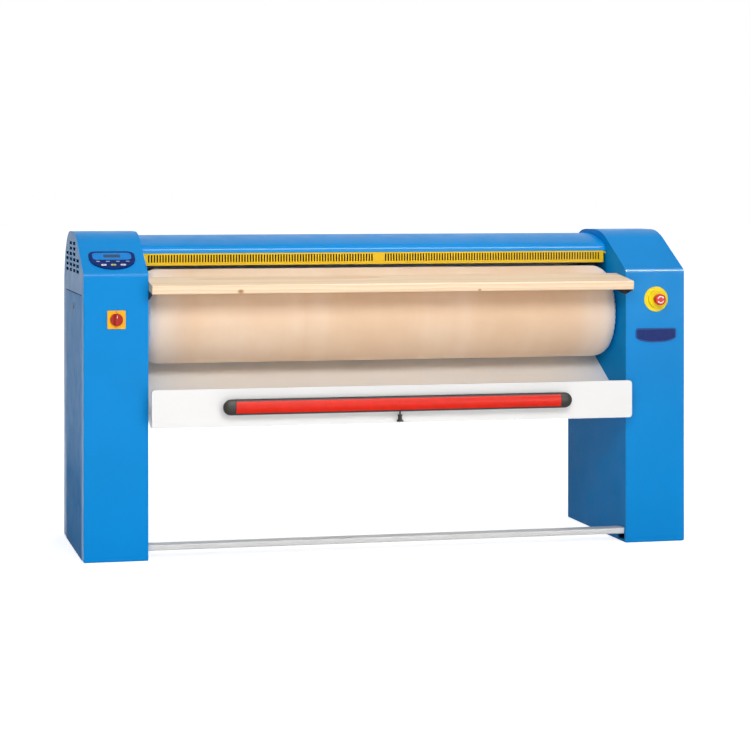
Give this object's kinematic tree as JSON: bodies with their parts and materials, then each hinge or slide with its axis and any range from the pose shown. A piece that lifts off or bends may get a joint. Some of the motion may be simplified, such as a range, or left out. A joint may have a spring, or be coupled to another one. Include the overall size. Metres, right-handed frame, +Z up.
{
  "type": "flatwork ironer",
  "caption": "Roller flatwork ironer with padded roller and heated chest between blue columns, wooden feed board, linen tray, trip bar and pedal bar.",
  "frame": {"origin": "on the floor, under the middle of the whole machine", "axes": "+X along the roller to the operator's right, -Y towards the operator, +Z up"},
  "size_m": [2.1546, 0.803, 1.112],
  "materials": {
    "blue_paint": "smooth semi-gloss blue powder coat",
    "white_paint": "smooth semi-gloss white paint",
    "yellow_paint": "satin yellow paint",
    "grey_paint": "satin light grey paint",
    "wood": "sanded light softwood with fine grain and a few small knots",
    "padding": "smooth pale felt",
    "zinc_steel": "bright zinc-plated steel",
    "dark_steel": "dull dark steel",
    "cast_iron": "painted grey casting",
    "polished_aluminium": "polished inner face",
    "black_plastic": "matt black moulding",
    "black_rubber": "matt black rubber",
    "red_rubber": "smooth semi-gloss red rubber strip",
    "red_plastic": "gloss red moulding",
    "yellow_plastic": "gloss yellow moulding",
    "navy_plastic": "gloss printed film in navy and light blue",
    "display_lens": "dark blue-green display lens",
    "white_key": "pale grey key cap",
    "green_key": "yellow-green key cap",
    "grey_plastic": "light grey plastic enclosure"
  },
  "bodies": {
    "frame": {"side_frame_left": "blue_paint", "base_pan_left": "blue_paint", "front_panel_left": "blue_paint", "rear_panel_left": "blue_paint", "service_panel_left": "blue_paint", "top_cover_left": "blue_paint", "roller_bearing_left": "cast_iron", "board_bracket_left": "zinc_steel", "side_frame_right": "blue_paint", "base_pan_right": "blue_paint", "front_panel_right": "blue_paint", "rear_panel_right": "blue_paint", "service_panel_right": "blue_paint", "top_cover_right": "blue_paint", "roller_bearing_right": "cast_iron", "board_bracket_right": "zinc_steel", "rear_beam": "dark_steel", "hood": "blue_paint", "rear_cover": "blue_paint", "gearmotor": "cast_iron", "drive_chain": "zinc_steel", "press_actuator": "dark_steel", "feed_board": "wood", "tray_sheet": "white_paint", "tray_fascia": "white_paint", "pedal_spring": "zinc_steel", "control_panel": "navy_plastic", "display_window": "display_lens", "main_switch_plate": "yellow_plastic", "stop_button_plate": "yellow_plastic", "badge_plate": "navy_plastic", "switchgear_box": "grey_plastic", "cable_gland": "black_plastic"},
    "roller": {"roller_drum": "dark_steel", "roller_padding": "padding", "roller_sprocket": "dark_steel"},
    "motor_output": {"motor_sprocket": "dark_steel"},
    "chest_group": {"chest": "polished_aluminium", "heating_element": "dark_steel", "chest_cover": "zinc_steel", "chest_yoke": "dark_steel"},
    "press_rod": {"press_rod": "zinc_steel"},
    "finger_guard": {"finger_guard": "yellow_paint"},
    "trip_bar": {"trip_bar_holder": "black_plastic", "trip_bar_insert": "red_rubber", "trip_bar_cap_left": "black_rubber", "trip_bar_cap_right": "black_rubber"},
    "plunger": {"plunger_knob": "black_plastic"},
    "pedal": {"pedal_bar": "grey_paint", "pedal_arm_left": "dark_steel", "pedal_arm_right": "dark_steel"},
    "switch_knob": {"main_switch_knob": "red_plastic"},
    "stop_stem": {"stop_button_stem": "red_plastic"},
    "stop_head": {"stop_button_head": "red_plastic"},
    "start_key": {"start_key": "white_key"},
    "stop_key": {"stop_key": "green_key"},
    "speed_key": {"speed_key": "white_key"},
    "lock_left": {"panel_lock_left": "zinc_steel"},
    "lock_right": {"panel_lock_right": "zinc_steel"}
  },
  "joints": [
    {"name": "roller_spin", "type": "hinge", "parent": "frame", "child": "roller", "pos_m": [0, -0.0505, 0.817], "axis": [1, 0, 0], "continuous": true},
    {"name": "motor_spin", "type": "hinge", "parent": "frame", "child": "motor_output", "pos_m": [0, -0.0505, 0.40001], "axis": [1, 0, 0], "continuous": true},
    {"name": "chest_swing", "type": "hinge", "parent": "frame", "child": "chest_group", "pos_m": [0, -0.0505, 0.6], "axis": [1, 0, 0], "range_deg": [0, 4]},
    {"name": "press_lift", "type": "slide", "parent": "frame", "child": "press_rod", "axis": [0, 0, 1], "range_m": [0, 0.0165]},
    {"name": "guard_tilt", "type": "hinge", "parent": "frame", "child": "finger_guard", "pos_m": [0, -0.0525, 1.03], "axis": [1, 0, 0], "range_deg": [0, 12], "stiffness_Nm_per_rad": 2, "springref_deg": -6.88},
    {"name": "trip_bar_push", "type": "slide", "parent": "frame", "child": "trip_bar", "axis": [0, 1, 0], "range_m": [0, 0.008], "stiffness_N_per_m": 1500, "springref_m": -0.003},
    {"name": "plunger_pull", "type": "slide", "parent": "trip_bar", "child": "plunger", "axis": [0, 0, -1], "range_m": [0, 0.006], "stiffness_N_per_m": 300, "springref_m": -0.004},
    {"name": "pedal_press", "type": "hinge", "parent": "frame", "child": "pedal", "pos_m": [0, 0.1135, 0.12], "axis": [1, 0, 0], "range_deg": [0, 3], "stiffness_Nm_per_rad": 210, "springref_deg": -4.3, "deforming": ["pedal_spring"]},
    {"name": "main_switch_turn", "type": "hinge", "parent": "frame", "child": "switch_knob", "pos_m": [-0.964, -0.2765, 0.82], "axis": [0, 1, 0], "range_deg": [0, 90]},
    {"name": "stop_press", "type": "slide", "parent": "frame", "child": "stop_stem", "axis": [0, 1, 0], "range_m": [0, 0.006]},
    {"name": "stop_twist", "type": "hinge", "parent": "stop_stem", "child": "stop_head", "pos_m": [0.968, -0.2765, 0.868], "axis": [0, 1, 0], "range_deg": [0, 45], "stiffness_Nm_per_rad": 0.05, "springref_deg": -11.46},
    {"name": "start_key_push", "type": "slide", "parent": "frame", "child": "start_key", "axis": [0, 0.4571, -0.8894], "range_m": [0, 0.001], "stiffness_N_per_m": 300, "springref_m": -0.001},
    {"name": "stop_key_push", "type": "slide", "parent": "frame", "child": "stop_key", "axis": [0, 0.4571, -0.8894], "range_m": [0, 0.001], "stiffness_N_per_m": 300, "springref_m": -0.001},
    {"name": "speed_key_push", "type": "slide", "parent": "frame", "child": "speed_key", "axis": [0, 0.4571, -0.8894], "range_m": [0, 0.001], "stiffness_N_per_m": 300, "springref_m": -0.001},
    {"name": "lock_left_turn", "type": "hinge", "parent": "frame", "child": "lock_left", "pos_m": [-1.075, 0.0435, 0.853], "axis": [1, 0, 0], "range_deg": [0, 90]},
    {"name": "lock_right_turn", "type": "hinge", "parent": "frame", "child": "lock_right", "pos_m": [1.075, 0.0435, 0.853], "axis": [1, 0, 0], "range_deg": [0, 90]}
  ],
  "couplings": [
    {"joint": "motor_spin", "follows": "roller_spin", "ratio": 3},
    {"joint": "press_lift", "follows": "chest_swing", "m_per_rad": 0.2298}
  ]
}
